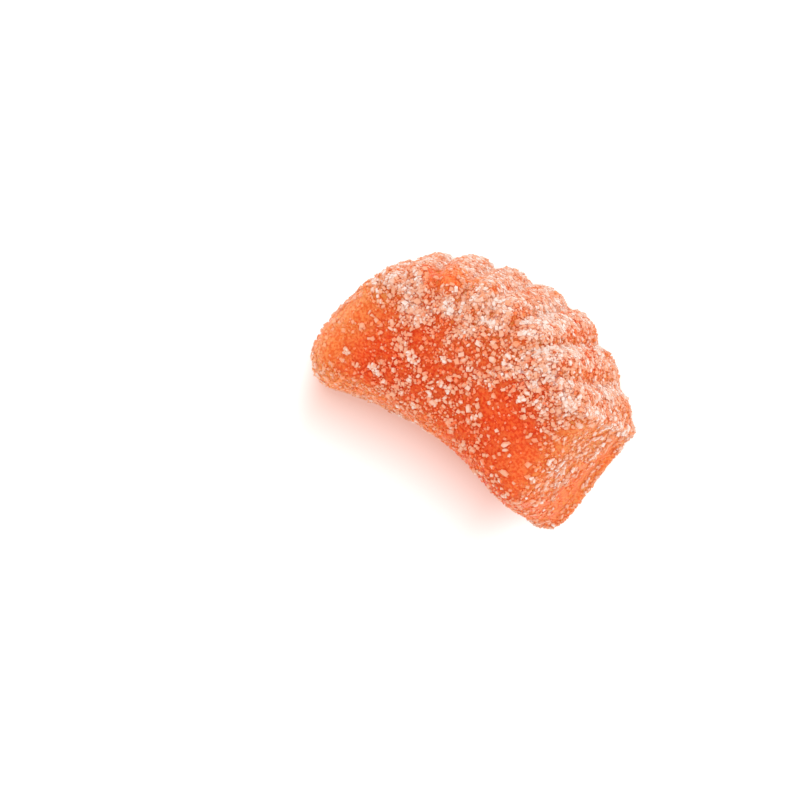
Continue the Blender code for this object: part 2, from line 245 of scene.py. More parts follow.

# ---- Finish of the jelly; colours run from its pale rims to its deep middle, which carry painted light and shade as well as depth ----
DARK_JELLY = ((0.73, 0.250, 0.095, 1), (0.69, 0.110, 0.018, 1), (0.63, 0.036, 0.003, 1))
LIGHT_JELLY = ((0.79, 0.450, 0.240, 1), (0.76, 0.23, 0.064, 1), (0.73, 0.110, 0.022, 1))
FROSTED_JELLY = (0.75, 0.36, 0.27, 1)
NOISE_DETAIL = 3.0
SPECK_LENGTH = 0.32 * MM
SPECK_LIMITS = (0.36, 0.64)      # the jelly is dark below the first and light above the second
FROST_LENGTH = 0.38 * MM         # grains of frost too fine to be crystals of their own
FROST_LIMITS = (0.60, 2.00)      # amounts of sugar from none to full frost
JELLY_ROUGHNESS = (0.34, 0.62)   # bare and frosted
JELLY_SPECULAR = 0.12
JELLY_IOR = 1.45
JELLY_GLOW = 0.06                # stands in for light that passes right through
SCATTER_WEIGHT = 0.85
SCATTER_RADIUS = (1.0, 0.30, 0.12)
SCATTER_LENGTH = 3.0 * MM
BUMP_LENGTH = 0.35 * MM
BUMP_HEIGHT = 0.06 * MM
BUMP_STRENGTH = 0.5

# ---- Finish of the sugar ----
PEACH_SUGAR = (0.67, 0.31, 0.185, 1)
WHITE_SUGAR = (0.70, 0.58, 0.52, 1)
SUGAR_ROUGHNESS = 0.35
SUGAR_SPECULAR = 0.3
SUGAR_IOR = 1.5
# painted glow: the crystals give off a little of their own colour, for light scattered inside
# them, which lifts their shaded sides
SUGAR_GLOW = 0.12

# ---- The floor, with a painted warm shadow beside the candy, for its shade and the light that has come through the jelly ----
FLOOR_SIDE = 1600.0 * MM
FLOOR_COLOURS = ((0.88, 0.88, 0.88, 1), (0.90, 0.90, 0.90, 1))
FLOOR_CLOUDS = 40.0 * MM
FLOOR_ROUGHNESS = 0.7
FLOOR_EMISSION = 0.35
# painted warm shadow: a darker, warmer floor colour beside the candy, for its shade and the light
# through the jelly
PAINTED_WARM_SHADOW = (0.62, 0.38, 0.32, 1)
GRID_SIDE = 120.0 * MM           # a fine grid carries the painted warm shadow
GRID_STEPS = 180
GRID_RIM = 0.49                  # its points past this share are drawn out to the floor's rim
GLOW_REACH = 9.0 * MM            # how far from the candy's foot the painted warm shadow fades
GLOW_POWER = 1.5
GLOW_X = -4.0 * MM
GLOW_SIDE_Y = -1.5 * MM          # the painted warm shadow lies on the side away from the main lamp
GLOW_HALF_WIDTH = 21.0 * MM
GLOW_SHARE = 0.85
CONTACT_REACH = 1.2 * MM         # a narrow line of painted contact shadow lies right at the foot
CONTACT_SHARE = 0.25

# ---- Light; a lamp is its name, direction, distance, side, power and colour ----
SKY_STRENGTH = 1.1
LAMPS = (
    ("key", (-0.05, 0.90, 1.0), 550.0 * MM, 450.0 * MM, 1.0, (1.0, 0.98, 0.96)),
    ("fill", (0.8, -0.3, 0.8), 600.0 * MM, 500.0 * MM, 0.40, (1.0, 1.0, 1.0)),
)


def smooth_step(x):
    x = np.clip(x, 0.0, 1.0)
    return x * x * (3.0 - 2.0 * x)


def rise(x, start, reach):
    """0 up to the start, then smoothly up to 1 over the reach."""
    return smooth_step((x - start) / reach)


def new_object(name, data):
    thing = bpy.data.objects.new(name, data)
    bpy.context.scene.collection.objects.link(thing)
    return thing


def store(mesh, name, values):
    """Keeps a value for each vertex, for the materials."""
    mesh.attributes.new(name, "FLOAT", "POINT").data.foreach_set("value", values)


# ---------------------------------------------------------------- outline of the jelly

def outline(outer_in, end_in, inner_in):
    """One ring seen from above, from the left outer corner over +Y and round."""
    radius = OUTER_RADIUS - outer_in

    def corners(side):
        base_y = math.sqrt(OUTER_RADIUS ** 2 - OUTER_CORNERS[side] ** 2)
        outer_x = OUTER_CORNERS[side] - end_in
        outer_y = math.sqrt(radius ** 2 - outer_x ** 2)
        return (np.array([outer_x, outer_y]),
                np.array([INNER_CORNERS[side] - end_in, base_y - END_EDGES[side] + inner_in]))

    left_outer, left_inner = corners(0)
    right_outer, right_inner = corners(1)
    mirror = np.array([-1.0, 1.0])
    left_tip = left_inner * mirror

    def inner_point(v):
        v = np.asarray(v)[:, None]
        straight = left_tip * (1 - v) + right_inner * v
        return straight + np.array([0.0, INNER_HOLLOW]) * 4 * v * (1 - v)

    def side_points(side, outer_corner, inner_corner, wall_start):
        length = np.linalg.norm(inner_corner - outer_corner)
        u = np.linspace(0, 1 - CORNER_REACHES[side] / length, END_STEPS + 1)[1:, None]
        bulge = np.array([END_BULGES[side], 0.0]) * 4 * u * (1 - u)
        end = outer_corner * (1 - u) + inner_corner * u + bulge
        t = np.linspace(0, 1, CORNER_STEPS + 1)[1:-1, None]
        turn = (1 - t) ** 2 * end[-1] + 2 * t * (1 - t) * inner_corner + t ** 2 * wall_start
        return np.vstack((end, turn))

    cuts = np.array(CORNER_REACHES) / np.linalg.norm(right_inner - left_tip)
    inner = inner_point(np.linspace(1 - cuts[1], cuts[0], INNER_STEPS + 1))
    right = side_points(1, right_outer, right_inner, inner[0])
    left = side_points(0, left_outer, left_inner, inner[-1] * mirror)[::-1] * mirror
    angle = np.linspace(-math.asin(left_outer[0] / radius), math.asin(right_outer[0] / radius),
                        FLUTES * STEPS_PER_FLUTE + 1)
    outer = radius * np.column_stack((np.sin(angle), np.cos(angle)))
    return np.vstack((outer, right, inner, left))


def wall_shares():
    """How far each point of a ring belongs to the outer wall, the ends and the inner wall."""
    outer_count = FLUTES * STEPS_PER_FLUTE + 1
    along_end = np.arange(1, END_STEPS + 1) / END_STEPS
    end_outer = 1 - smooth_step(along_end / FLUTED_CORNER)
    turn = smooth_step(np.linspace(0, 1, CORNER_STEPS + 1)[1:-1])
    side_outer = np.concatenate((end_outer, np.zeros(CORNER_STEPS - 1)))
    side_inner = np.concatenate((np.zeros(END_STEPS), turn))
    outer = np.concatenate((np.ones(outer_count), side_outer,
                            np.zeros(INNER_STEPS + 1), side_outer[::-1]))
    inner = np.concatenate((np.zeros(outer_count), side_inner,
                            np.ones(INNER_STEPS + 1), side_inner[::-1]))
    return outer, 1 - outer - inner, inner


def outward_normals(ring):
    along = np.roll(ring, -1, axis=0) - np.roll(ring, 1, axis=0)
    normal = np.column_stack((-along[:, 1], along[:, 0]))
    return normal / np.linalg.norm(normal, axis=1)[:, None]


def flute_at(s):
    """The flute at a share s of the outer arc, and 0 on its crest to 1 in its grooves."""
    place = (s + FLUTE_SHIFT * np.sin(math.pi * s)) * FLUTES
    lobe = np.clip(place.astype(int), 0, FLUTES - 1)
    return lobe, np.abs(2 * (place - lobe) - 1)


def flute_relief(random):
    """How far the outer wall's flutes stand in or out along its arc."""
    s = np.linspace(0, 1, FLUTES * STEPS_PER_FLUTE + 1)
    lobe, across = flute_at(s)
    tall = 1 + LOBE_VARIATION * random.uniform(-1, 1, FLUTES)
    deep = 1 - (1 - FLUTE_END_DEPTH) * (2 * s - 1) ** 2
    relief = (tall[lobe] * (1 - across ** FLUTE_POWER) - FLUTE_MEAN) * deep * FLUTE_DEPTH
    relief += SWELL_RISE * smooth_step(1 - np.abs(s - SWELL_PLACE) / SWELL_REACH)
    return relief + CREST_RISE * smooth_step(1 - (1 - s) / CREST_REACH)


def unevenness(points, random):
    """Soft low waves, the same for any point of space."""
    total = np.zeros(len(points))
    for _ in range(WAVES):
        direction = random.normal(size=3)
        direction /= np.linalg.norm(direction)
        phase = random.uniform(0, 2 * math.pi)
        total += np.sin(points @ direction * (2 * math.pi / WAVE_LENGTH) + phase)
    return WAVE_HEIGHT * total / math.sqrt(WAVES)


def spine(ring):
    """The line inside the top that its rings close towards."""
    x = ring[:, 0] * SPINE_REACH
    outer_count = FLUTES * STEPS_PER_FLUTE + 1
    first_inner = outer_count + END_STEPS + CORNER_STEPS - 1
    outer = ring[:outer_count]
    inner = ring[first_inner:first_inner + INNER_STEPS + 1][::-1]
    y_outer = np.interp(x, outer[:, 0], outer[:, 1])
    y_inner = np.interp(x, inner[:, 0], inner[:, 1])
    return np.column_stack((x, SPINE_PLACE * y_outer + (1 - SPINE_PLACE) * y_inner))


# ---------------------------------------------------------------- rings of the jelly

def jelly_rings():
    """All rings of the jelly from the base to the top, each an array of points."""
    relief = flute_relief(np.random.default_rng(SEED))
    outer, end, inner = wall_shares()
    shoulder = outer * OUTER_SHOULDER + end * END_SHOULDER + inner * INNER_SHOULDER
    flutes = np.zeros(len(outer))
    flutes[:len(relief)] = relief
    lip_share = 1 - outer

    def ring_at(z, extra, turn, flute_share, lip=0.0):
        z_wall = z if np.ndim(z) else np.full(len(outer), z)
        lean = z_wall / HEIGHT
        lean_outer = lean[0]
        lean_inner = lean[len(relief) + END_STEPS + CORNER_STEPS + INNER_STEPS // 2]
        lean_end = lean[len(relief) + END_STEPS - 1]
        flat = outline(OUTER_DRAFT * lean_outer + extra[0],
                       END_DRAFT * lean_end + extra[1],
                       INNER_DRAFT * lean_inner + extra[2])
        push = flutes * flute_share
        flat = flat + outward_normals(flat) * (push * math.cos(turn) + lip * lip_share)[:, None]
        return np.column_stack((flat, z_wall + push * math.sin(turn)))

    radii = np.array([OUTER_SHOULDER, END_SHOULDER, INNER_SHOULDER])
    none = np.zeros(3)
    rings = [ring_at(0.0, np.full(3, FOOT_ROUNDING), 0.0, FLUTE_AT_BASE, LIP_PROUD),
             ring_at(FOOT_ROUNDING, none, 0.0, FLUTE_AT_BASE, LIP_PROUD),
             ring_at(LIP_TOP, none, 0.0, FLUTE_AT_BASE, LIP_PROUD)]
    for step in range(WALL_RINGS):
        up = step / (WALL_RINGS - 1)
        z = LIP_HEIGHT + (HEIGHT - shoulder - LIP_HEIGHT) * up
        rings.append(ring_at(z, none, 0.0, FLUTE_AT_BASE + (1 - FLUTE_AT_BASE) * up))
    for step in range(1, SHOULDER_RINGS + 1):
        turn = SHOULDER_TURN * step / SHOULDER_RINGS
        z = HEIGHT - shoulder * (1 - math.sin(turn))
        rings.append(ring_at(z, radii * (1 - math.cos(turn)), turn, 1.0))

    edge = rings[-1].copy()
    edge_flutes = flutes * math.sin(SHOULDER_TURN)
    edge[:, 2] -= edge_flutes
    goal = spine(edge[:, :2])
    for step in range(1, TOP_RINGS + 1):
        t = TOP_LAST * step / TOP_RINGS
        flat = edge[:, :2] * (1 - t) + goal * t
        rise = (HEIGHT + DOME - edge[:, 2]) * (1 - (1 - t) ** 2)
        fade = max(0.0, 1 - t / FLUTE_FADE) ** FLUTE_FADE_POWER
        rings.append(np.column_stack((flat, edge[:, 2] + rise + edge_flutes * fade)))
    return rings


def vertex_normals(mesh):
    normals = np.zeros(len(mesh.vertices) * 3)
    mesh.vertex_normals.foreach_get("vector", normals)
    return normals.reshape(-1, 3)


def vertex_points(mesh):
    points = np.zeros(len(mesh.vertices) * 3)
    mesh.vertices.foreach_get("co", points)
    return points.reshape(-1, 3)


def jelly_points():
    """The rings as rows of points, with the origin in the middle of the footprint."""
    rings = np.array(jelly_rings())
    points = rings.reshape(-1, 3)
    wave = unevenness(points, np.random.default_rng(SEED + 1))
    away = points - np.array([0.0, OUTER_RADIUS / 2, HEIGHT / 2])
    away /= np.linalg.norm(away, axis=1)[:, None]
    lift = np.clip(points[:, 2] / LIP_HEIGHT, 0.0, 1.0)
    points += away * (wave * lift)[:, None]
    middle = (points[:, :2].min(axis=0) + points[:, :2].max(axis=0)) / 2
    points[:, :2] -= middle
    return points.reshape(rings.shape), -middle


def jelly_mesh(rings):
    """The jelly as one closed mesh of small even quads."""
    points = rings.reshape(-1, 3)
    count = len(rings[0])
    i = np.arange(count)
    k = (i + 1) % count
    faces = []
    for low in range(len(rings) - 1):
        start = low * count
        quads = np.column_stack((start + i, start + k, start + count + k, start + count + i))
        faces += quads.tolist()
    faces.append(i[::-1].tolist())
    faces.append(((len(rings) - 1) * count + i).tolist())
    mesh = bpy.data.meshes.new(BODY_PIECE)
    mesh.from_pydata(points.tolist(), [], faces)
    coarse = new_object("coarse_jelly", mesh)
    even = coarse.modifiers.new("even", "REMESH")
    even.mode = "VOXEL"
    even.voxel_size = SKIN_FINENESS
    graph = bpy.context.evaluated_depsgraph_get()
    fine = bpy.data.meshes.new_from_object(coarse.evaluated_get(graph))
    bpy.data.objects.remove(coarse)
    fine.name = BODY_PIECE
    fine.shade_smooth()
    return fine


def move_vertices(mesh, shift):
    """Moves every vertex along its normal."""
    points = vertex_points(mesh) + vertex_normals(mesh) * shift[:, None]
    mesh.vertices.foreach_set("co", points.ravel())
    mesh.update()


def field(points, size, length, offset):
    """Smooth noise of about -size to size whose lumps are length apart."""
    shift = Vector((offset, -offset, 2 * offset))
    lumps = np.array([noise.noise(Vector(point) / length + shift) for point in points])
    return size * (lumps * NOISE_GAIN)


def pebbles(points, size, length, offset):
    """Rounded pebbles: half the size up in the middle of one, half down at its border."""
    shift = Vector((offset, offset, -offset))
    near = np.array([noise.voronoi(Vector(point) / length + shift)[0][:2] for point in points])
    return size * (np.clip((near[:, 1] - near[:, 0]) * NOISE_GAIN, 0.0, 1.0) - 0.5)


# ---------------------------------------------------------------- how much sugar lies where

def camera_axes():
    """Right, up and back of the camera."""
    flat = math.cos(CAMERA_ELEVATION)
    back = Vector((flat * math.cos(CAMERA_AZIMUTH), flat * math.sin(CAMERA_AZIMUTH),
                   math.sin(CAMERA_ELEVATION)))
    level_right = Vector((-math.sin(CAMERA_AZIMUTH), math.cos(CAMERA_AZIMUTH), 0.0))
    level_up = back.cross(level_right)
    up = level_up * math.cos(CAMERA_ROLL) + level_right * math.sin(CAMERA_ROLL)
    return up.cross(back), up, back


def spot_under_pixel(tree, pixel):
    """Where the photograph's pixel falls on the jelly, or None beside it."""
    right, up, back = camera_axes()
    eye = Vector(CAMERA_AIM) + back * CAMERA_DISTANCE
    reach = PHOTO_SIDE / 2 / math.tan(CAMERA_FIELD / 2)
    ray = (right * (pixel[0] - PHOTO_SIDE / 2) - up * (pixel[1] - PHOTO_SIDE / 2) - back * reach)
    spot, _, _, _ = tree.ray_cast(eye, ray.normalized())
    return spot


def groove_share(points, arc_centre):
    """1 in a groove of the fluted wall, 0 on a crest, 0.5 away from the flutes."""
    away = points[:, :2] - arc_centre
    ends = [math.asin(corner / OUTER_RADIUS) for corner in OUTER_CORNERS]
    s = (np.arctan2(away[:, 0], away[:, 1]) + ends[0]) / sum(ends)
    _, across = flute_at(np.clip(s, 0, 1))
    return 0.5 + (across ** 2 - 0.5) * rise(np.linalg.norm(away, axis=1), *GROOVES_SPAN)


def corner_edges(points, arc_centre):
    """1 on the two edges between the outer wall and the ends, 0 away from them."""
    lean = points[:, 2] / HEIGHT
    radius = OUTER_RADIUS - OUTER_DRAFT * lean
    near = np.zeros(len(points))
    for way, corner in zip((-1, 1), OUTER_CORNERS):
        x = corner - END_DRAFT * lean
        y = np.sqrt(radius ** 2 - x ** 2)
        gap = np.hypot(points[:, 0] - arc_centre[0] - way * x, points[:, 1] - arc_centre[1] - y)
        near = np.maximum(near, np.exp(-(gap / EDGE_REACH) ** 2))
    return near


def sugar_share(points, normals, arc_centre, tree):
    """How thickly sugar lies, from the side that a place is on and from the patches."""
    along = np.clip(points[:, 0] / DEEP_END, -1, 1)
    outer = np.clip(normals[:, 1], 0, 1)
    inner = np.clip(-normals[:, 1], 0, 1)
    top = np.clip(normals[:, 2], 0, 1)
    on_top = TOP_SUGAR + TOP_SUGAR_MORE * rise(points[:, 1] / HALF_WIDTH, *TOP_SUGAR_SPAN)
    on_ends = END_SUGAR + RIGHT_END_SUGAR * np.maximum(along, 0)
    share = (outer ** 2 * OUTER_SUGAR + normals[:, 0] ** 2 * on_ends
             + inner ** 2 * INNER_SUGAR + top ** 2 * on_top)
    share *= 1 + GROOVE_SUGAR * (groove_share(points, arc_centre) - 0.5)
    uneven = 1 + field(points, *SUGAR_DRIFTS) + field(points, *SUGAR_BLOTCHES)
    share *= uneven
    for pixel, radius, left in THIN_PATCHES + THICK_PATCHES:
        spot = spot_under_pixel(tree, pixel)
        if spot is not None:
            gap = np.linalg.norm(points - np.array(spot), axis=1)
            share *= 1 + (left - 1) * (1 - rise(gap / radius, *PATCH_SPAN))
    lip = LIP_SUGAR * (1 - LIP_SUGAR_TILT * along)
    lip *= 1 - smooth_step(points[:, 2] / LIP_SUGAR_HEIGHT)
    edges = EDGE_SUGAR * corner_edges(points, arc_centre)
    share += (lip + edges) * np.clip(uneven, 0, 1)
    return np.clip(share, *SUGAR_RANGE)


def jelly_depth_and_painted_light(points, normals):
    """How deep the jelly looks: 1 in the thick middle, less at the ends, 0 at thin rims. Painted
    light pales the foot, the ends and the hollow, and painted shade deepens the left end.
    """
    x, y, z = points.T
    along = np.clip(x / DEEP_END, -1, 1)
    middle = smooth_step((DEEP_END - np.abs(x)) / DEEP_FADE)
    ends = END_DEPTH + END_DEPTH_TILT * np.maximum(along, END_DEPTH_LEFT)
    depth = ends + (1 - ends) * middle * (1 - OUTER_PALER * smooth_step(y / HALF_WIDTH))
    depth += field(points, *DEPTH_CLOUDS)
    depth += RIGHT_FLUTES_DEEPER * smooth_step(x / DEEP_FADE) * smooth_step(normals[:, 1] * 2)
    # painted shade on the left end's steep face
    depth += LEFT_END_PAINTED_SHADE * rise(-normals[:, 0], *LEFT_END_SHADE_FACING)
    # painted light: the foot, the ends and the left part of the hollow are paled
    rim = (1 - smooth_step(z / PALE_HEIGHT)) * (RIM_PALER - RIM_PALER_TILT * along)
    end = rise(np.abs(normals[:, 0]), *SIDE_FACING) * rise(y, END_PALE_FROM, HALF_WIDTH)
    end *= END_PALER + END_PALER_TILT * along
    hollow = rise(-normals[:, 1], *SIDE_FACING) * (1 - rise(x, *HOLLOW_RIGHT_SPAN))
    return np.clip(depth * (1 - rim) * (1 - end) * (1 - HOLLOW_PALER * hollow), 0, 1)


# ---------------------------------------------------------------- crystals

def points_and_faces(shape):
    """The points and triangles of a bmesh as arrays. The bmesh itself is let go."""
    shape.verts.ensure_lookup_table()
    points = np.array([vert.co for vert in shape.verts])
    faces = np.array([[vert.index for vert in face.verts] for face in shape.faces])
    shape.free()
    return points, faces


def faceted_shapes(random):
    """Uneven many-faceted crystals of unit size, and their shared triangles."""
    ball = bmesh.new()
    bmesh.ops.create_icosphere(ball, subdivisions=1, radius=1.0)
    round_points, faces = points_and_faces(ball)
    shapes = []
    for _ in range(SHAPES):
        turn = np.linalg.qr(random.normal(size=(3, 3)))[0]
        way = round_points @ (turn * np.sign(np.linalg.det(turn)))
        reach = (np.abs(way) ** SQUARENESS).sum(axis=1) ** (1 / SQUARENESS)
        uneven = 1 + random.uniform(-FACET_UNEVENNESS, FACET_UNEVENNESS, len(way))
        shapes.append(way / reach[:, None] * uneven[:, None] / 2)
    return np.array(shapes), faces


def block_shapes(random):
    """Small skewed blocks of unit size, and their shared triangles."""
    cube = bmesh.new()
    bmesh.ops.create_cube(cube, size=1.0)
    bmesh.ops.triangulate(cube, faces=cube.faces[:])
    corners, faces = points_and_faces(cube)
    skew = random.uniform(-BLOCK_UNEVENNESS, BLOCK_UNEVENNESS, (SHAPES, len(corners), 3))
    return corners + skew, faces


def frames_along(normals, random):
    """For each normal, axes with Z near it, leaned and spun at random."""
    z = normals + random.normal(size=normals.shape) * LEAN
    z /= np.linalg.norm(z, axis=1)[:, None]
    x = np.cross(z, random.normal(size=z.shape))
    x /= np.linalg.norm(x, axis=1)[:, None]
    return np.stack((x, np.cross(z, x), z), axis=2)


def crystal_piece(name, spots, normals, sizes, tints, random, shapes, shape, sunk, material):
    """One mesh of many separate crystals, kept inside the solid's box and above the floor."""
    shapes, faces = shapes
    count = len(spots)
    local = shapes[random.integers(len(shapes), size=count)]
    uneven = random.uniform(*STRETCHES, (count, 3)) * np.array(shape)
    local = local * (uneven * sizes[:, None])[:, None, :]
    axes = frames_along(normals, random)
    tall = sizes * shape[2]
    centre = spots + normals * (tall * (0.5 - sunk))[:, None]
    corners = np.einsum("nij,nvj->nvi", axes, local)
    height = np.einsum("nvi,ni->nv", corners, normals) / tall[:, None] + 0.5
    # painted light: each crystal whitens towards its top and takes the jelly's colour at its foot,
    # partly the jelly seen through the sugar
    tint_with_painted_light = tints[:, None] * (FOOT_TINT + (1 - FOOT_TINT) * smooth_step(height))
    low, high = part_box("slice")
    points = (centre[:, None, :] + corners).reshape(-1, 3)
    points = np.clip(points, np.array(low), np.array(high))
    per = local.shape[1]
    triangles = (faces[None] + per * np.arange(count)[:, None, None]).reshape(-1, 3)
    mesh = bpy.data.meshes.new(name)
    mesh.from_pydata(points.tolist(), [], triangles.tolist())
    store(mesh, "tint", tint_with_painted_light.ravel())
    # the depth also carries painted light and shade
    store(mesh, "deep", np.repeat(jelly_depth_and_painted_light(spots, normals), per))
    mesh.materials.append(material)
    return new_object(name, mesh)


class Ground:
    """The jelly's surface as triangles that crystals are scattered on."""

    def __init__(self, mesh, share):
        mesh.calc_loop_triangles()
        corners = np.zeros(len(mesh.loop_triangles) * 3, dtype=int)
        mesh.loop_triangles.foreach_get("vertices", corners)
        self.corners = corners.reshape(-1, 3)
        self.points = vertex_points(mesh)
        self.normals = vertex_normals(mesh)
        self.share = share
        a, b, c = (self.points[self.corners[:, n]] for n in range(3))
        self.area = np.linalg.norm(np.cross(b - a, c - a), axis=1) / 2

    def scatter(self, count, power, random):
        """Places, normals and shares of sugar, with more places where more sugar lies."""
        weight = self.area * (self.share[self.corners].mean(axis=1)) ** power
        chance = np.cumsum(weight)
        face = np.searchsorted(chance, random.uniform(0, chance[-1], count))
        face = np.minimum(face, len(self.corners) - 1)
        u, v = random.uniform(size=(2, count))
        over = u + v > 1
        u[over], v[over] = 1 - u[over], 1 - v[over]
        w = 1 - u - v
        mix = np.stack((w, u, v), axis=1)[:, :, None]
        spots = (self.points[self.corners[face]] * mix).sum(axis=1)
        normals = (self.normals[self.corners[face]] * mix).sum(axis=1)
        normals /= np.linalg.norm(normals, axis=1)[:, None]
        shares = (self.share[self.corners[face]] * mix[:, :, 0]).sum(axis=1)
        return spots, normals, shares


def surface_tree(mesh):
    return BVHTree.FromPolygons([v.co for v in mesh.vertices],
                                [p.vertices for p in mesh.polygons])


def clump_places(tree, ground, random):
    """Where each clump starts and how many crystals it has.

    The large ones are at the photograph's own places, the others over the rest of the candy.
    """
    places = [(Vector(spot), random.integers(*SMALL_CLUMP))
              for spot in ground.scatter(SCATTERED_CLUMPS, 1.0, random)[0]]
    for pixel in CLUMP_PIXELS:
        spot = spot_under_pixel(tree, pixel)
        if spot is not None:
            places.append((spot, random.integers(*LARGE_CLUMP)))
    return places


# ---------------------------------------------------------------- materials

def new_material(name):
    material = bpy.data.materials.new(name)
    material.use_nodes = True
    return material, material.node_tree.nodes, material.node_tree.links


def mix_colour(nodes, links, factor, first, second):
    """A colour mix whose factor is a socket and whose ends are colours or sockets."""
    mix = nodes.new("ShaderNodeMix")
    mix.data_type = "RGBA"
    links.new(factor, mix.inputs[0])
    for socket, value in ((mix.inputs[6], first), (mix.inputs[7], second)):
        if isinstance(value, tuple):
            socket.default_value = value
        else:
            links.new(value, socket)
    return mix.outputs[2]


def attribute(nodes, name):
    node = nodes.new("ShaderNodeAttribute")
    node.attribute_name = name
    return node.outputs["Fac"]


def jelly_colour(nodes, links, pale, middle, deep):
    """The jelly's colour from its pale rims to its deep middle, with the painted light and shade
    that the depth carries.
    """
    node = nodes.new("ShaderNodeValToRGB")
    node.color_ramp.elements.new(0.5)
    for element, colour in zip(node.color_ramp.elements, (pale, middle, deep)):
        element.color = colour
    links.new(attribute(nodes, "deep"), node.inputs["Fac"])
    return node.outputs["Color"]


def ramp(nodes, links, source, low, high):
    """The source stretched so that low becomes 0 and high becomes 1."""
    node = nodes.new("ShaderNodeMapRange")
    node.inputs["From Min"].default_value = low
    node.inputs["From Max"].default_value = high
    node.interpolation_type = "SMOOTHSTEP"
    links.new(source, node.inputs["Value"])
    return node.outputs["Result"]


def noise_node(nodes, links, where, length):
    node = nodes.new("ShaderNodeTexNoise")
    node.inputs["Scale"].default_value = 1.0 / length
    node.inputs["Detail"].default_value = NOISE_DETAIL
    links.new(where, node.inputs["Vector"])
    return node.outputs["Fac"]


def frost_cover(nodes, links, where):
    """How frosted each small grain of the surface is: most where sugar lies thickest."""
    frost = attribute(nodes, "frost")
    grain = nodes.new("ShaderNodeTexVoronoi")
    grain.inputs["Scale"].default_value = 1.0 / FROST_LENGTH
    links.new(where, grain.inputs["Vector"])
    spark = nodes.new("ShaderNodeSeparateColor")
    links.new(grain.outputs["Color"], spark.inputs["Color"])
    chance = nodes.new("ShaderNodeMath")
    chance.operation = "MULTIPLY_ADD"
    links.new(spark.outputs["Red"], chance.inputs[0])
    links.new(frost, chance.inputs[1])
    links.new(frost, chance.inputs[2])
    return ramp(nodes, links, chance.outputs["Value"], *FROST_LIMITS)


def jelly_material():
    material, nodes, links = new_material("jelly_finish")
    shader = nodes["Principled BSDF"]
    stretch = nodes.new("ShaderNodeVectorMath")
    stretch.operation = "MULTIPLY"
    links.new(nodes.new("ShaderNodeTexCoord").outputs["Object"], stretch.inputs[0])
    stretch.inputs[1].default_value = (1.0, 1.0, UPRIGHT_STRETCH)
    where = stretch.outputs["Vector"]

    speck = ramp(nodes, links, noise_node(nodes, links, where, SPECK_LENGTH), *SPECK_LIMITS)
    dark = jelly_colour(nodes, links, *DARK_JELLY)
    light = jelly_colour(nodes, links, *LIGHT_JELLY)
    jelly = mix_colour(nodes, links, speck, dark, light)
    cover = frost_cover(nodes, links, where)
    colour = mix_colour(nodes, links, cover, jelly, FROSTED_JELLY)
    links.new(colour, shader.inputs["Base Color"])
    links.new(colour, shader.inputs["Emission Color"])
    shader.inputs["Emission Strength"].default_value = JELLY_GLOW

    rough = nodes.new("ShaderNodeMapRange")
    rough.inputs["To Min"].default_value = JELLY_ROUGHNESS[0]
    rough.inputs["To Max"].default_value = JELLY_ROUGHNESS[1]
    links.new(cover, rough.inputs["Value"])
    links.new(rough.outputs["Result"], shader.inputs["Roughness"])
    shader.inputs["Subsurface Weight"].default_value = SCATTER_WEIGHT
    shader.inputs["Subsurface Radius"].default_value = SCATTER_RADIUS
    shader.inputs["Subsurface Scale"].default_value = SCATTER_LENGTH
    shader.inputs["IOR"].default_value = JELLY_IOR
    shader.inputs["Specular IOR Level"].default_value = JELLY_SPECULAR

    bump = nodes.new("ShaderNodeBump")
    bump.inputs["Strength"].default_value = BUMP_STRENGTH
    bump.inputs["Distance"].default_value = BUMP_HEIGHT
    links.new(noise_node(nodes, links, where, BUMP_LENGTH), bump.inputs["Height"])
    links.new(bump.outputs["Normal"], shader.inputs["Normal"])
    return material


def sugar_material():
    material, nodes, links = new_material("sugar_finish")
    shader = nodes["Principled BSDF"]
    tint = attribute(nodes, "tint")
    jelly = jelly_colour(nodes, links, *LIGHT_JELLY)
    peach = mix_colour(nodes, links, ramp(nodes, links, tint, 0.0, 0.5), jelly, PEACH_SUGAR)
    colour = mix_colour(nodes, links, ramp(nodes, links, tint, 0.5, 1.0), peach, WHITE_SUGAR)
    links.new(colour, shader.inputs["Base Color"])
    links.new(colour, shader.inputs["Emission Color"])
    # painted glow of the crystals
    shader.inputs["Emission Strength"].default_value = SUGAR_GLOW
    shader.inputs["Roughness"].default_value = SUGAR_ROUGHNESS
    shader.inputs["Specular IOR Level"].default_value = SUGAR_SPECULAR
    shader.inputs["IOR"].default_value = SUGAR_IOR
    return material


def floor_material():
    material, nodes, links = new_material("floor_finish")
    shader = nodes["Principled BSDF"]
    where = nodes.new("ShaderNodeTexCoord").outputs["Object"]
    faint = noise_node(nodes, links, where, FLOOR_CLOUDS)
    pale = mix_colour(nodes, links, faint, *FLOOR_COLOURS)
    # the painted warm shadow darkens and warms the floor's colour and its even glow
    colour = mix_colour(nodes, links, attribute(nodes, "painted_warm_shadow"), pale, PAINTED_WARM_SHADOW)
    links.new(colour, shader.inputs["Base Color"])
    links.new(colour, shader.inputs["Emission Color"])
    shader.inputs["Emission Strength"].default_value = FLOOR_EMISSION
    shader.inputs["Roughness"].default_value = FLOOR_ROUGHNESS
    return material


# ---------------------------------------------------------------- stage

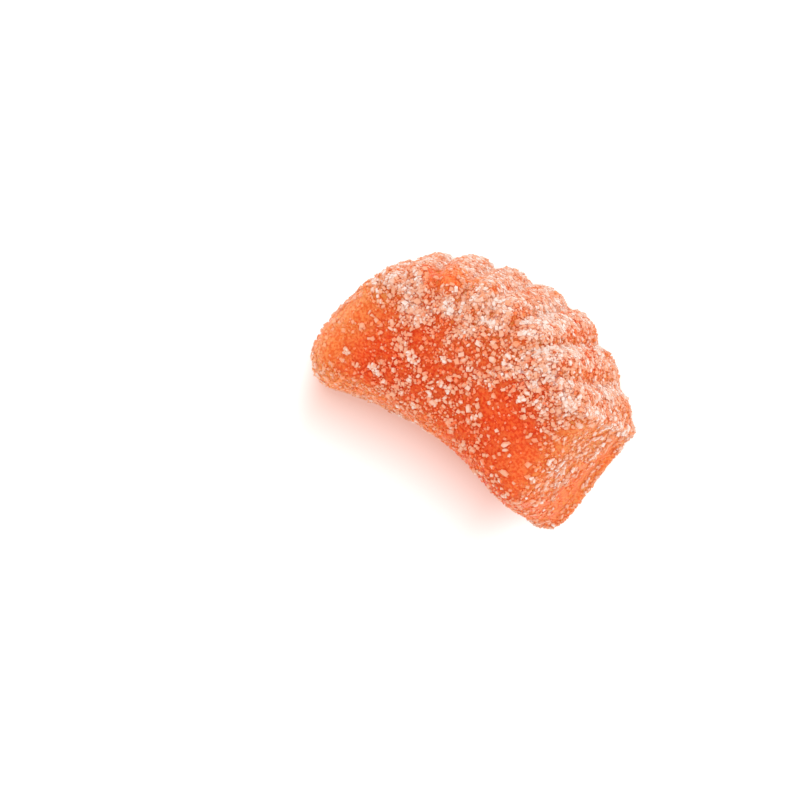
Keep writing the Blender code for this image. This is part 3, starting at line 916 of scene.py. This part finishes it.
def make_floor(foot):
    """A pale floor with a painted warm shadow beside the candy, for its shade and the light that
    has come through the jelly.
    """
    bpy.ops.mesh.primitive_grid_add(x_subdivisions=GRID_STEPS, y_subdivisions=GRID_STEPS,
                                    size=GRID_SIDE)
    near = bpy.context.object
    near.name = "floor"
    points = vertex_points(near.data)
    gap = np.array([np.min(np.hypot(*(foot[:, :2] - point[:2]).T)) for point in points])
    # painted shadow on the side away from the main lamp, fading away from the candy's foot
    shade = smooth_step((GLOW_SIDE_Y - points[:, 1]) / GLOW_REACH)
    shade *= smooth_step((GLOW_HALF_WIDTH - np.abs(points[:, 0] - GLOW_X)) / GLOW_REACH)
    soft = GLOW_SHARE * np.exp(-(gap / GLOW_REACH) ** GLOW_POWER)
    close = CONTACT_SHARE * np.exp(-gap / CONTACT_REACH)
    store(near.data, "painted_warm_shadow", shade * (soft + close))
    points[np.hypot(*points[:, :2].T) > GRID_SIDE * GRID_RIM] *= FLOOR_SIDE / GRID_SIDE
    near.data.vertices.foreach_set("co", points.ravel())
    near.data.materials.append(floor_material())


def make_lights():
    """A bright sky and soft square lamps that look at the candy."""
    world = bpy.data.worlds.new("studio")
    world.use_nodes = True
    background = world.node_tree.nodes["Background"]
    background.inputs["Color"].default_value = (1.0, 1.0, 1.0, 1)
    background.inputs["Strength"].default_value = SKY_STRENGTH
    bpy.context.scene.world = world
    for name, direction, distance, side, power, colour in LAMPS:
        lamp = bpy.data.lights.new(name, "AREA")
        lamp.size = side
        lamp.energy = power
        lamp.color = colour
        light = new_object(name, lamp)
        way = Vector(direction).normalized()
        light.location = way * distance
        light.rotation_euler = way.to_track_quat("Z", "Y").to_euler()


def make_camera():
    right, up, back = camera_axes()
    data = bpy.data.cameras.new("camera")
    data.sensor_width = CAMERA_SENSOR
    data.lens = CAMERA_SENSOR / 2 / math.tan(CAMERA_FIELD / 2)
    data.clip_start = CAMERA_NEAR
    camera = new_object("camera", data)
    turn = Matrix((right, up, back)).transposed().to_4x4()
    eye = Vector(CAMERA_AIM) + back * CAMERA_DISTANCE
    camera.matrix_world = Matrix.Translation(eye) @ turn
    bpy.context.scene.camera = camera


# ---------------------------------------------------------------- the candy

def make_body(rings, arc_centre):
    """The jelly with its skin, and how much sugar and frost lie on each of its vertices."""
    mesh = jelly_mesh(rings)
    points = vertex_points(mesh)
    normals = vertex_normals(mesh)
    share = sugar_share(points, normals, arc_centre, surface_tree(mesh))
    steep = rise(np.abs(normals[:, 0]), *STEEP_FACING)
    steep *= smooth_step(points[:, 2] / LIP_SUGAR_HEIGHT)
    frost = share * (1 - END_FROST_LESS * steep)

    upright = points * np.array([1.0, 1.0, UPRIGHT_STRETCH])
    pebbled = np.clip(share, LEAST_PEBBLED, 1) * (1 - END_PEBBLES_LESS * steep)
    skin = field(points, *SKIN_SWELLS)
    skin += pebbles(upright, *SKIN_PEBBLES) * pebbled
    skin += field(upright, *SKIN_PITS) * (1 - END_PITS_LESS * steep)
    move_vertices(mesh, skin * smooth_step(points[:, 2] / LIP_HEIGHT) - COAT)

    store(mesh, "frost", frost)
    # the depth also carries painted light and shade
    store(mesh, "deep", jelly_depth_and_painted_light(points, normals))
    body = new_object(BODY_PIECE, mesh)
    mesh.materials.append(jelly_material())
    return body, share, frost


def make_clumps(mesh, ground, random, shapes, finish):
    """Crystals that stick together, each a short step from the one before."""
    skin = surface_tree(mesh)
    spots, normals, sizes = [], [], []
    for place, count in clump_places(skin, ground, random):
        for _ in range(count):
            place, way, _, _ = skin.find_nearest(place)
            spots.append(place)
            normals.append(way)
            sizes.append(random.uniform(*CLUMP_SIZES))
            place = place + way.cross(Vector(random.normal(size=3))) * CLUMP_STEP
    tints = np.clip(random.normal(*CLUMP_TINT, len(spots)), 0, 1)
    return crystal_piece("sugar_clumps", np.array(spots), np.array(normals), np.array(sizes),
                         tints, random, shapes, CLUMP_SHAPE, CLUMP_SUNK, finish)


def make_sugar(body, share, frost):
    """Every kind of crystal, each as one piece."""
    random = np.random.default_rng(SEED + 5)
    ground = Ground(body.data, share)
    fine_ground = Ground(body.data, frost)
    finish = sugar_material()
    faceted = faceted_shapes(random)
    blocks = block_shapes(random)
    pieces = []
    for kind in KINDS:
        around = fine_ground if kind.largest < FINE_LIMIT else ground
        spots, normals, shares = around.scatter(kind.count, kind.seeks, random)
        larger = random.uniform(size=kind.count) ** SIZE_POWER
        sizes = kind.smallest + (kind.largest - kind.smallest) * larger
        mean = kind.thin + (kind.thick - kind.thin) * np.clip(shares, 0.0, FULL_SUGAR)
        tints = np.clip(random.normal(mean, kind.spread, kind.count), 0.0, 1.0)
        pieces.append(crystal_piece(kind.name, spots, normals, sizes, tints, random,
                                    faceted if kind.faceted else blocks, kind.shape, kind.sunk,
                                    finish))
    pieces.append(make_clumps(body.data, ground, random, faceted, finish))
    return pieces


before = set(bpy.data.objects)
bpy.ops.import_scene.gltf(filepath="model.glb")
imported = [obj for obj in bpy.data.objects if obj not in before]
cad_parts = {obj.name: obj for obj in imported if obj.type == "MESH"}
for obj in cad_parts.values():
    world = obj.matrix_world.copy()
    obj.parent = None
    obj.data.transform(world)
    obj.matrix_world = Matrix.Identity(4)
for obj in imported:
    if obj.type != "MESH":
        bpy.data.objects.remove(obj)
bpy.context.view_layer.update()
bpy.context.scene.view_settings.view_transform = "Standard"
make_camera()
make_lights()
rings, arc_centre = jelly_points()
make_floor(rings[1])
body, share, frost = make_body(rings, arc_centre)
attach(body, "root")
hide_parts("slice")
for piece in make_sugar(body, share, frost):
    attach(piece, "root")
